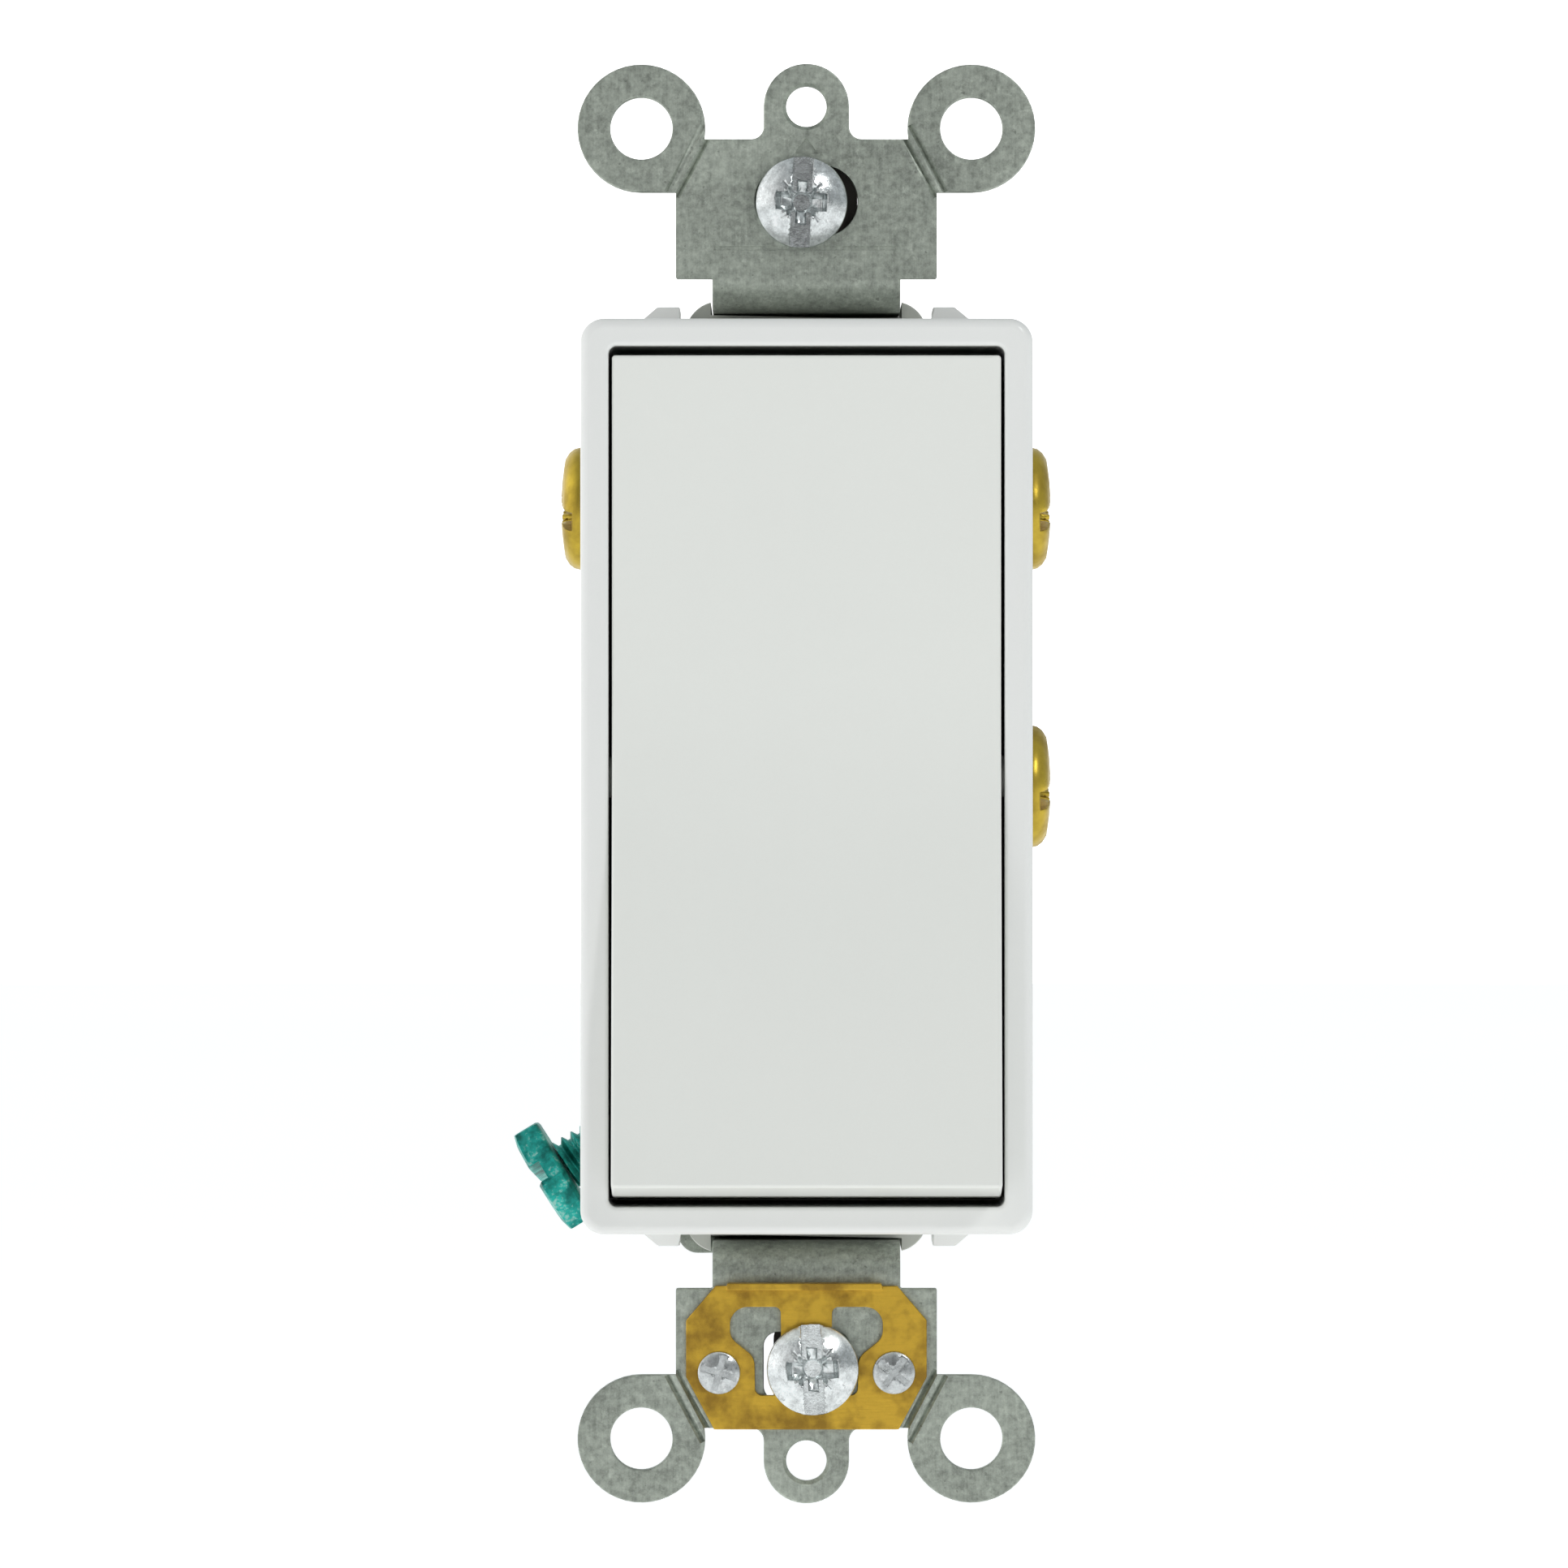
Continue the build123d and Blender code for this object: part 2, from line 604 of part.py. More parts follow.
with BuildPart() as common_terminal:
    strip((-3.6, 3.6), (-1.6, 1.6))
    strip((-6.0, -3.6), (-1.6, 16.5))
    strip((-plate_inner_x, -3.6), (14.7, 16.5))
    screw_plate(*bays["common"])
    for side in (1, -1):
        post = (side * 2.8, side * 3.6)
        block(post, (fulcrum_y - 1.0, strip_front_y), (-1.3, 1.3))
    with Locations(Plane(origin=(0, fulcrum_y, 0), z_dir=(1, 0, 0))):
        Cylinder(fulcrum_radius, 2 * 3.2)
save(common_terminal.part, "common_terminal")

with BuildPart() as traveler_terminal_upper:
    strip((-2.2, 2.2), (6.6, 16.5))
    strip((2.2, plate_inner_x), (14.7, 16.5))
    screw_plate(*bays["upper_traveler"])
save(traveler_terminal_upper.part, "traveler_terminal_upper")

with BuildPart() as traveler_terminal_lower:
    strip((-2.2, 7.2), (-11.0, -6.6))
    strip((5.2, 7.2), (-6.6, -3.5))
    strip((5.2, plate_inner_x), (-5.3, -3.5))
    screw_plate(*bays["lower_traveler"])
save(traveler_terminal_lower.part, "traveler_terminal_lower")

# ---------- terminal screws and the clamp plates that they carry ----------
for name, (side, z) in bays.items():
    with BuildPart() as clamp_plate:
        block((side * clamp_inner_x, side * clamp_outer_x), (8.0, 18.0), (z - 5.0, z + 5.0))
        fillet(clamp_plate.edges().filter_by(Axis.X), 0.8)
        with BuildSketch(facing_side(side, clamp_inner_x - 0.5, screw_y, z)):
            Circle(2.3)
        extrude(amount=2, mode=Mode.SUBTRACT)
    save(clamp_plate.part, f"{name}_clamp_plate")

    with BuildPart() as terminal_screw:
        seat = facing_side(side, clamp_outer_x + screw_head_gap, screw_y, z)
        shank = [(1.7, -5.4), (terminal_screw_radius, -5.0), (terminal_screw_radius, 0)]
        rim = [(4.46, 0), (4.46, 1.3), (4.36, 1.72), (4.08, 2.08), (3.6, 2.38)]
        domed_turning(seat, shank + rim, terminal_crown)
        driver_recess(seat, terminal_crown, side * 15, 1.35, 0.85, 1.9, 1.8)
    save(terminal_screw.part, f"{name}_screw")

with BuildPart() as ground_screw:
    head_seat = ground_plane.offset(ground_standoff)
    with BuildSketch(head_seat.offset(-ground_standoff - strap_thickness - ground_tip)):
        Circle(terminal_screw_radius)
    extrude(amount=ground_standoff + strap_thickness + ground_tip)
    chamfer(ground_screw.edges().sort_by(Axis.X)[-1], 0.35)
    with BuildSketch(head_seat):
        RegularPolygon(7.9 / 2, 6, major_radius=False)
    extrude(amount=2.2)
    domed = [(4.0, -9.0), (4.0, -9.0 + 0.1), (6.2, -9.0 + 0.1), (6.2, 1.1)]
    domed_turning(head_seat, domed, 2.6, mode=Mode.INTERSECT)
    with BuildSketch(head_seat.offset(1.3)):
        Rectangle(12, 1.5, rotation=12)
    extrude(amount=3, mode=Mode.SUBTRACT)
save(ground_screw.part, "ground_screw")

# ---------- self-grounding clip ----------
clip_front_y = -strap_thickness - clip_thickness
with BuildPart() as grounding_clip:
    with BuildSketch(facing_front(-strap_thickness, z=-body_rise)):
        with BuildLine():
            right_side = [(6.5, -35.9), (8.6, -38.35), (8.6, -42.4), (6.6, -46.15)]
            left_side = [(-x, z) for x, z in reversed(right_side)]
            Polyline(*right_side, *left_side, close=True)
        make_face()
        # two round lobes run down into a narrower window round the screw
        with BuildLine():
            half_window = [(5.45, -37.4, 1.25), (5.45, -39.6, 1.1), (3.7, -41.0, 1.2), (3.65, -43.7, 0.5)]
            window = half_window + [(-x, z, r) for x, z, r in reversed(half_window)]
            corners = [(x, z) for x, z, r in window]
            FilletPolyline(*corners, radius=[r for x, z, r in window], close=True)
        make_face(mode=Mode.SUBTRACT)
        # a tongue hangs between the lobes from the top band
        with BuildLine():
            half_tongue = [(2.9, -36.9, 0), (2.9, -37.4, 0), (1.85, -37.4, 0.45), (1.8, -40.2, 0.5)]
            tongue = half_tongue + [(-x, z, r) for x, z, r in reversed(half_tongue)]
            corners = [(x, z) for x, z, r in tongue]
            FilletPolyline(*corners, radius=[r for x, z, r in tongue], close=True)
        make_face()
        with Locations((rivet_x, rivet_z + body_rise), (-rivet_x, rivet_z + body_rise)):
            Circle(1.0, mode=Mode.SUBTRACT)
    extrude(amount=clip_thickness)
    # a raised lip along the top edge
    lip_z = -35.65 - body_rise
    block((-5.7, 5.4), (-2.9, -strap_thickness), (lip_z - 0.5, lip_z))
    fillet(grounding_clip.edges().filter_by(Axis.Y).filter_by(lambda e: e.length > 1.5), 0.2)
save(grounding_clip.part, "grounding_clip")

with BuildPart() as clip_rivets:
    for side in (1, -1):
        seat = facing_front(clip_front_y, side * rivet_x, rivet_z)
        tail = [(1.4, -2.1), (1.4, -1.7), (1.0, -1.7), (1.0, 0)]
        domed_turning(seat, tail + [(1.52, 0), (1.52, 0.25)], 0.6)
        for turn in (-37, 53) if side > 0 else (-16, 74):
            with BuildSketch(seat.offset(0.35)) as mark:
                Rectangle(4.0, 0.45, rotation=turn)
            extrude(mark.sketch, amount=1, mode=Mode.SUBTRACT)
save(clip_rivets.part, "clip_rivets")

# ---------- screws that fix the device to its box, and the washers that keep them ----------
screw_middle_z = -device_screw_drop - body_rise
device_screws = {
    "upper": (-0.35, screw_middle_z + device_screw_z, -strap_thickness, -3, 4.0),
    "lower": (0.45, screw_middle_z - device_screw_z, clip_front_y, 3, 2.8),
}
for name, (x, z, bearing_y, turn, washer_half_width) in device_screws.items():
    with BuildPart() as mounting_screw:
        seat = facing_front(bearing_y - screw_head_gap, x, z)
        neck = bearing_y - screw_head_gap - device_neck_end
        thread = [(1.3, -24.0), (device_screw_radius, -23.4), (device_screw_radius, neck)]
        shank = thread + [(device_neck_radius, neck), (device_neck_radius, 0)]
        head = [(device_head_radius, 0), (device_head_radius, 0.8)]
        domed_turning(seat, shank + head, device_crown)
        driver_recess(seat, device_crown, turn + 90, 1.4, 1.3, 1.95, 1.6)
    save(mounting_screw.part, f"{name}_mounting_screw")

    with BuildPart() as screw_retainer:
        washer_x = (x - washer_half_width, x + washer_half_width)
        block(washer_x, (0.05, 0.85), (z - 3.6, z + 3.6))
        fillet(screw_retainer.edges().filter_by(Axis.Y), 1.6)
        with BuildSketch(facing_front(2, x, z)):
            Circle(device_neck_radius + 0.05)
        extrude(amount=3, mode=Mode.SUBTRACT)
    save(screw_retainer.part, f"{name}_screw_retainer")

# ---------- rivets that hold the back bar to the housing ----------
with BuildPart() as back_rivets:
    for end in (1, -1):
        bar_back = Plane(
            origin=(0, housing_back_y + strap_thickness, end * 20.0),
            x_dir=(1, 0, 0),
            z_dir=(0, 1, 0),
        )
        domed_turning(bar_back, [(1.5, -9.2), (1.5, 0), (2.7, 0), (2.7, 0.3)], 0.9)
save(back_rivets.part, "back_rivets")
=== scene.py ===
import json
import math

import bmesh
import bpy
from bpy.props import FloatProperty, FloatVectorProperty, IntProperty, PointerProperty
from bpy.types import Operator, Panel, PropertyGroup
from mathutils import Matrix, Vector


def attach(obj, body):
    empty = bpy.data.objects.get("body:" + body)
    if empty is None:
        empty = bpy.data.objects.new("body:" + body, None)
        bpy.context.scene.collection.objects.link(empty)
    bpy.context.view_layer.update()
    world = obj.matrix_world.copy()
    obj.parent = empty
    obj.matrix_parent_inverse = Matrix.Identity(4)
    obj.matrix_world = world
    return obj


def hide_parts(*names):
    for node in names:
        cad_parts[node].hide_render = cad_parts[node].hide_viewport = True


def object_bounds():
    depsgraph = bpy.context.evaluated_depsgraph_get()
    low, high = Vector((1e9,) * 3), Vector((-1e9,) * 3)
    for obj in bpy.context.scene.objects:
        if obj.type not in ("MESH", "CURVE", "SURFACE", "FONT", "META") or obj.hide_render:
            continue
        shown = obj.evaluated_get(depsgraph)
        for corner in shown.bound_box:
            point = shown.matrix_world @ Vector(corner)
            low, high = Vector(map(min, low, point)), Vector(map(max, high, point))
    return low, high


bl_info = {
    "name": "Paddle Wall Switch",
    "version": (1, 0, 0),
    "blender": (4, 5, 0),
    "location": "View3D > Sidebar > Wall Switch",
    "description": "Builds and finishes the pieces of a paddle wall switch on its packed frame",
    "category": "Object",
}

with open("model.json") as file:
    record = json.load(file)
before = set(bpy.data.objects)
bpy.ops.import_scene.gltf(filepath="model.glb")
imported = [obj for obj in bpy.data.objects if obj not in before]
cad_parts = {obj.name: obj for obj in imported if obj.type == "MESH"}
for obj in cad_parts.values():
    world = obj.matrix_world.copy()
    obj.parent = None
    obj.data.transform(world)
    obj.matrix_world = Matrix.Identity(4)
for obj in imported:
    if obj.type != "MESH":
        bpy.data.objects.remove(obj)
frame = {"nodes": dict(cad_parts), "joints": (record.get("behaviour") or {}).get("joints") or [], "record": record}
CAD_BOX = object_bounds()
MM = 0.001
LINE_WIDTH = 0.14 * MM  # of the drawn lines in rolled metal
WELD = 0.0005 * MM  # points of a solid closer than this are one point
FLAT = math.radians(0.3)  # neighbouring faces flatter than this become one
NO_6_RADIUS = 1.75 * MM  # 6-32 device screws
NO_8_RADIUS = 2.08 * MM  # 8-32 terminal and ground screws
JOINTS = {joint["name"]: joint for joint in frame["joints"]}


# ---------- settings ----------
def tint(name, description, default):
    """A colour that a user may change."""
    return FloatVectorProperty(
        name=name, description=description, default=default, subtype="COLOR", size=3, min=0, max=1
    )


def length(name, description, default):
    """A length in metres, shown in the scene's units."""
    return FloatProperty(name=name, description=description, default=default, unit="LENGTH")


class SwitchFinishes(PropertyGroup):
    """Colours of the plastics and platings."""

    paddle: tint("Paddle", "Moulded colour of the paddle", (0.84, 0.85, 0.81))
    bezel: tint("Bezel", "Moulded colour of the bezel", (0.85, 0.855, 0.835))
    housing: tint("Housing", "Moulded colour of the rear housing", (0.66, 0.67, 0.62))
    # near-black red-brown of the chamber cover: partly the cover's own colour, partly painted shade for the gap
    # around the paddle
    cover_and_gap_shade: tint("Cover", "Moulded colour of the chamber cover", (0.03, 0.014, 0.009))
    zinc: tint("Zinc", "Zinc plating on the strap", (0.41, 0.445, 0.39))
    zinc_screw: tint("Zinc screws", "Brighter plating on the device screws", (0.7, 0.73, 0.73))
    clip_brass: tint("Clip brass", "Tarnished brass of the grounding clip", (0.6, 0.38, 0.05))
    screw_brass: tint("Screw brass", "Brass plating on the terminal screws", (0.54, 0.39, 0.05))
    ground_green: tint("Ground green", "Dyed plating on the ground screw", (0.02, 0.36, 0.31))


class SwitchSizes(PropertyGroup):
    """Sizes that the solids leave out."""

    thread_pitch: length("Thread pitch", "Pitch of the 6-32 and 8-32 threads", 0.79375 * MM)
    thread_depth: length("Thread depth", "Radial depth of the thread", 0.42 * MM)
    edge_break: length("Edge break", "Rounding left on stamped and moulded edges", 0.09 * MM)
    spring_wire: length("Spring wire", "Diameter of the plunger spring's wire", 0.36 * MM)
    spring_turns: IntProperty(name="Spring turns", description="Turns in the spring", default=9, min=3)


class SwitchStage(PropertyGroup):
    """Studio light and camera."""

    key_power: FloatProperty(name="Key", description="Softbox low on the left", default=9.8, unit="POWER")
    fill_power: FloatProperty(name="Fill", description="Softbox high on the right", default=1.3, unit="POWER")
    surround: FloatProperty(name="Surround", description="Brightness behind and beside", default=1.0)
    studio_dark: FloatProperty(name="Studio", description="Brightness behind the camera", default=0.22)
    glow: FloatProperty(name="Glow", description="Strength of the whole surround", default=1.52)
    lean: FloatProperty(name="Lean", description="How much darker the upper right is", default=0.68)
    distance: length("Distance", "From the camera to the wall face", 0.7)
    view_width: length("View width", "Width of the view at the wall face", 0.1123)


# ---------- shader maths ----------
class Value:
    """A shader socket that adds Math nodes when it is used in an expression."""

    def __init__(self, graph, socket):
        self.graph = graph
        self.socket = socket

    def maths(self, operation, first, second):
        return self.graph.add("ShaderNodeMath", {"operation": operation}, {0: first, 1: second})

    def __add__(self, other):
        return self.maths("ADD", self, other)

    def __radd__(self, other):
        return self.maths("ADD", other, self)

    def __mul__(self, other):
        return self.maths("MULTIPLY", self, other)

    def __rmul__(self, other):
        return self.maths("MULTIPLY", other, self)


class Graph:
    """The node tree of one material, or of the world, and one method that adds any node."""

    def __init__(self, tree):
        self.tree = tree
        self.tree.nodes.clear()

    def add(self, kind, settings=None, inputs=None, output=0):
        node = self.tree.nodes.new(kind)
        for key, setting in (settings or {}).items():
            if key == "stops":
                self.set_stops(node.color_ramp, setting)
            else:
                setattr(node, key, setting)
        for key, given in (inputs or {}).items():
            if isinstance(given, Value):
                self.tree.links.new(given.socket, node.inputs[key])
            else:
                node.inputs[key].default_value = given
        return Value(self, node.outputs[output]) if len(node.outputs) else node

    @staticmethod
    def set_stops(ramp, stops):
        while len(ramp.elements) < len(stops):
            ramp.elements.new(1.0)
        for element, (place, shade) in zip(ramp.elements, stops):
            element.position = place
            element.color = (shade, shade, shade, 1)

    def place(self, stretch=(1, 1, 1)):
        """Object coordinates, stretched."""
        here = self.add("ShaderNodeTexCoord", output=3)
        return self.add("ShaderNodeMapping", {}, {"Vector": here, "Scale": stretch})

    def lines(self, stretch):
        """Fine noise drawn out into lines along the axes with a large stretch."""
        return self.noise(1.0, 4, where=self.place(tuple(1 / LINE_WIDTH / by for by in stretch)))

    def noise(self, size, detail=3, roughness=0.55, where=None):
        """Cloudy noise whose blotches are about that size in metres."""
        inputs = {"Scale": 1 / size, "Detail": detail, "Roughness": roughness}
        inputs["Vector"] = where or self.place()
        return self.add("ShaderNodeTexNoise", {}, inputs)

    def ramp(self, value, stops):
        """A grey ramp between (place, grey) stops."""
        return self.add("ShaderNodeValToRGB", {"stops": stops}, {"Fac": value})

    def blend(self, factor, first, second):
        """A colour between two colours."""
        inputs = {0: factor, 6: rgba(first), 7: rgba(second)}
        return self.add("ShaderNodeMix", {"data_type": "RGBA"}, inputs, output=2)

    def bump(self, height, depth, strength):
        """A bump whose full height is that depth in metres."""
        inputs = {"Height": height, "Distance": depth, "Strength": strength}
        return self.add("ShaderNodeBump", {}, inputs)

    def surface(self, **inputs):
        """The Principled surface, joined to the output."""
        named = {key.replace("_", " ").title(): given for key, given in inputs.items()}
        named = {("IOR" if key == "Ior" else key): given for key, given in named.items()}
        shader = self.add("ShaderNodeBsdfPrincipled", {}, named)
        self.add("ShaderNodeOutputMaterial", {}, {"Surface": shader})


def rgba(colour):
    """A colour with its alpha, or the socket that was given."""
    return colour if isinstance(colour, Value) else (*colour[:3], 1)


def shade(colour, by):
    """A lighter or darker version of a colour."""
    return tuple(min(1, channel * by) for channel in colour)


# ---------- materials ----------
def new_graph(name):
    """An empty material of that name with its graph."""
    material = bpy.data.materials.new(name)
    material.use_nodes = True
    return material, Graph(material.node_tree)


def zinc_plate(name, colour, grain=(1, 1, 1), gloss=0.36):
    """Rolled steel with a dull zinc plating: fine mottle, drawn lines, scuffs and dark pits."""
    material, graph = new_graph(name)
    clouds = graph.noise(6 * MM, 4)
    mottle = graph.noise(0.55 * MM, 6, 0.75)
    fine = graph.noise(0.13 * MM, 3, 0.6)
    drawn = graph.lines(grain)
    pits = graph.ramp(graph.noise(0.42 * MM, 2, 0.5), [(0.26, 1), (0.31, 0)])
    scuffs = graph.ramp(graph.noise(0.9 * MM, 6, 0.75), [(0.57, 0), (0.66, 1)])
    tone = 0.25 * clouds + 0.6 * mottle + 0.15 * drawn
    plated = graph.blend(graph.ramp(tone, [(0.38, 0), (0.62, 1)]), shade(colour, 0.6), shade(colour, 1.25))
    rubbed = graph.blend(scuffs * 0.35, plated, shade(colour, 1.7))
    pitted = graph.blend(pits * 0.5, rubbed, shade(colour, 0.35))
    rough = gloss + 0.12 * clouds + 0.14 * mottle
    relief = 0.6 * mottle + 0.28 * fine + 0.12 * drawn
    graph.surface(
        base_color=pitted, metallic=1.0, roughness=rough, normal=graph.bump(relief, 0.035 * MM, 0.6)
    )
    return material


def moulded_plastic(name, colour, rough=0.3, texture=0.35, coat=0.25):
    """Injection-moulded plastic with a faint spark-eroded texture and uneven gloss."""
    material, graph = new_graph(name)
    broad = graph.noise(14 * MM, 3)
    pebble = graph.noise(0.16 * MM, 2, 0.5)
    flow = graph.noise(4 * MM, 2)
    tinted = graph.blend(0.6 * broad + 0.4 * pebble, shade(colour, 0.965), shade(colour, 1.02))
    graph.surface(
        base_color=tinted,
        roughness=rough + 0.1 * flow + 0.06 * pebble,
        ior=1.49,
        coat_weight=coat,
        coat_roughness=0.18,
        normal=graph.bump(pebble, 0.012 * MM, texture),
    )
    return material


def tarnished_brass(name, colour, lines=(1, 1, 1), tarnish=0.5, gloss=0.3):
    """Brass with brown tarnish in clouds, lighter rubbed patches and fine rolling lines."""
    material, graph = new_graph(name)
    clouds = graph.noise(3.2 * MM, 6, 0.68)
    grain = graph.lines(lines)
    fine = graph.noise(0.2 * MM, 3)
    age = graph.ramp(clouds, [(0.4, 0), (0.6, 1)])
    rubbed = graph.blend(0.5 * grain + 0.5 * fine, shade(colour, 0.9), shade(colour, 1.3))
    brown = (colour[0] * 0.4, colour[1] * 0.36, colour[2] * 0.6)
    aged = graph.blend(age * tarnish, rubbed, brown)
    graph.surface(
        base_color=aged,
        metallic=1.0,
        roughness=gloss + 0.2 * age + 0.1 * grain,
        normal=graph.bump(0.6 * grain + 0.4 * fine, 0.02 * MM, 0.4),
    )
    return material


def dyed_plating(name, colour):
    """Zinc plating dyed green, thin and silvery where it has been rubbed."""
    material, graph = new_graph(name)
    clouds = graph.noise(1.5 * MM, 5, 0.6)
    fine = graph.noise(0.25 * MM, 3)
    bare = graph.ramp(0.6 * clouds + 0.4 * fine, [(0.53, 0), (0.62, 1)])
    deep = graph.blend(graph.ramp(clouds, [(0.38, 0), (0.6, 1)]), shade(colour, 0.4), shade(colour, 1.35))
    rubbed = graph.blend(bare * 0.6, deep, (0.5, 0.72, 0.66))
    graph.surface(
        base_color=rubbed,
        metallic=0.85,
        roughness=0.26 + 0.2 * fine + 0.12 * clouds,
        normal=graph.bump(0.5 * fine + 0.5 * clouds, 0.05 * MM, 0.5),
    )
    return material


def bright_metal(name, colour, rough=0.22):
    """Bright metal with fine tool marks."""
    material, graph = new_graph(name)
    fine = graph.noise(0.15 * MM, 3)
    clouds = graph.noise(1.2 * MM, 4)
    tone = graph.blend(clouds, shade(colour, 0.82), shade(colour, 1.12))
    graph.surface(
        base_color=tone,
        metallic=1.0,
        roughness=rough + 0.2 * clouds,
        normal=graph.bump(fine, 0.02 * MM, 0.35),
    )
    return material


def dull_solid(name, colour, rough=0.75, fibre=0.2):
    """Rubber or pressed fibre, slightly uneven in colour, with a fine tooth."""
    material, graph = new_graph(name)
    clouds = graph.noise(1.4 * MM, 5)
    tooth = graph.noise(fibre * MM, 3, 0.7)
    tone = graph.blend(0.5 * clouds + 0.5 * tooth, shade(colour, 0.7), shade(colour, 1.3))
    graph.surface(
        base_color=tone, roughness=rough + 0.12 * tooth, normal=graph.bump(tooth, 0.04 * MM, 0.5)
    )
    return material


def finish_for(slot):
    """The material of a slot, made the first time it is asked for."""
    if slot in MATERIALS:
        return MATERIALS[slot]
    colours = bpy.context.scene.switch_finishes
    recipes = {
        "zinc_plate": lambda: zinc_plate(slot, colours.zinc, grain=(1, 1, 14)),
        "bezel_white": lambda: moulded_plastic(slot, colours.bezel, rough=0.26, coat=0.3),
        "paddle_white": lambda: moulded_plastic(slot, colours.paddle, rough=0.32, coat=0.2),
        "housing_white": lambda: moulded_plastic(slot, colours.housing, 0.42, 0.6, coat=0.0),
        # the cover's near-black colour doubles as painted shade in the gap around the paddle
        "cover_dark": lambda: moulded_plastic(slot, colours.cover_and_gap_shade, 0.45, 0.5, coat=0.0),
        "plunger_plastic": lambda: moulded_plastic(slot, (0.6, 0.57, 0.48), 0.4, 0.3, coat=0.0),
        "pad_rubber": lambda: dull_solid(slot, (0.03, 0.03, 0.03)),
        # the retainers' near-black colour is partly their own and partly painted shade in the strap slots beside
        # the screw heads
        "washer_fibre": lambda: dull_solid(slot, (0.04, 0.035, 0.03), 0.8, 0.35),
        "spring_steel": lambda: bright_metal(slot, (0.5, 0.5, 0.49)),
        "contact_silver": lambda: bright_metal(slot, (0.8, 0.78, 0.74), 0.18),
        "contact_copper": lambda: tarnished_brass(slot, (0.72, 0.4, 0.25), (1, 1, 12), 0.35),
        "terminal_brass": lambda: tarnished_brass(slot, (0.62, 0.43, 0.14), (1, 1, 12), 0.3),
        "screw_brass": lambda: tarnished_brass(slot, colours.screw_brass, (1, 1, 1), 0.45, 0.24),
        "clip_brass": lambda: tarnished_brass(slot, colours.clip_brass, (10, 1, 1), 0.75, 0.28),
        "clamp_steel": lambda: zinc_plate(slot, shade(colours.zinc, 1.2), (1, 12, 1), 0.28),
        "rivet_steel": lambda: zinc_plate(slot, shade(colours.zinc_screw, 0.85), (1, 1, 1), 0.16),
        "screw_zinc": lambda: zinc_plate(slot, colours.zinc_screw, (1, 1, 1), 0.07),
        "ground_green": lambda: dyed_plating(slot, colours.ground_green),
    }
    MATERIALS[slot] = recipes[slot]()
    return MATERIALS[slot]


MATERIALS = {}
SLOTS = {row["node"]: row["material_slot"] for row in frame["record"]["subparts"]}
BODIES = frame["record"]["behaviour"]["bodies"]
BODY_OF = {node: body for body, members in BODIES.items() for node in members}


# ---------- mesh work ----------
def merged_copy(node):
    """A mesh of a CAD node with its doubled points merged and its flat areas joined up."""
    mesh = bmesh.new()
    mesh.from_mesh(frame["nodes"][node].data)
    bmesh.ops.remove_doubles(mesh, verts=mesh.verts, dist=WELD)
    bmesh.ops.dissolve_limit(mesh, angle_limit=FLAT, verts=mesh.verts, edges=mesh.edges)
    return mesh


def has_room(edge, width):
    """Whether the edges beside this one are at least three widths long, as rounding needs."""
    along = (edge.verts[1].co - edge.verts[0].co).normalized()
    for vert in edge.verts:
        for other in vert.link_edges:
            across = other.other_vert(vert).co - vert.co
            runs_on = abs(across.normalized() @ along) > 0.8
            if other is not edge and not runs_on and across.length < 3 * width:
                return False
    return True


def break_edges(mesh, width, sharper_than=28):
    """Round the edges that are sharper than the angle, so that they catch the light."""
    limit = math.radians(sharper_than)
    sharp = [e for e in mesh.edges if e.is_manifold and e.calc_face_angle() > limit]
    bmesh.ops.bevel(
        mesh,
        geom=[e for e in sharp if has_room(e, width)],
        offset=width,
        offset_type="OFFSET",
        affect="EDGES",
        segments=2,
        profile=0.5,
        material=-1,
        clamp_overlap=False,
    )


def cut_off(mesh, point, direction):
    """Remove what lies beyond a plane in that direction and close the cut."""
    everything = mesh.verts[:] + mesh.edges[:] + mesh.faces[:]
    bmesh.ops.bisect_plane(
        mesh, geom=everything, dist=1e-9, plane_co=point, plane_no=direction, clear_outer=True
    )
    rim = [e for e in mesh.edges if e.is_boundary]
    bmesh.ops.holes_fill(mesh, edges=rim, sides=0)


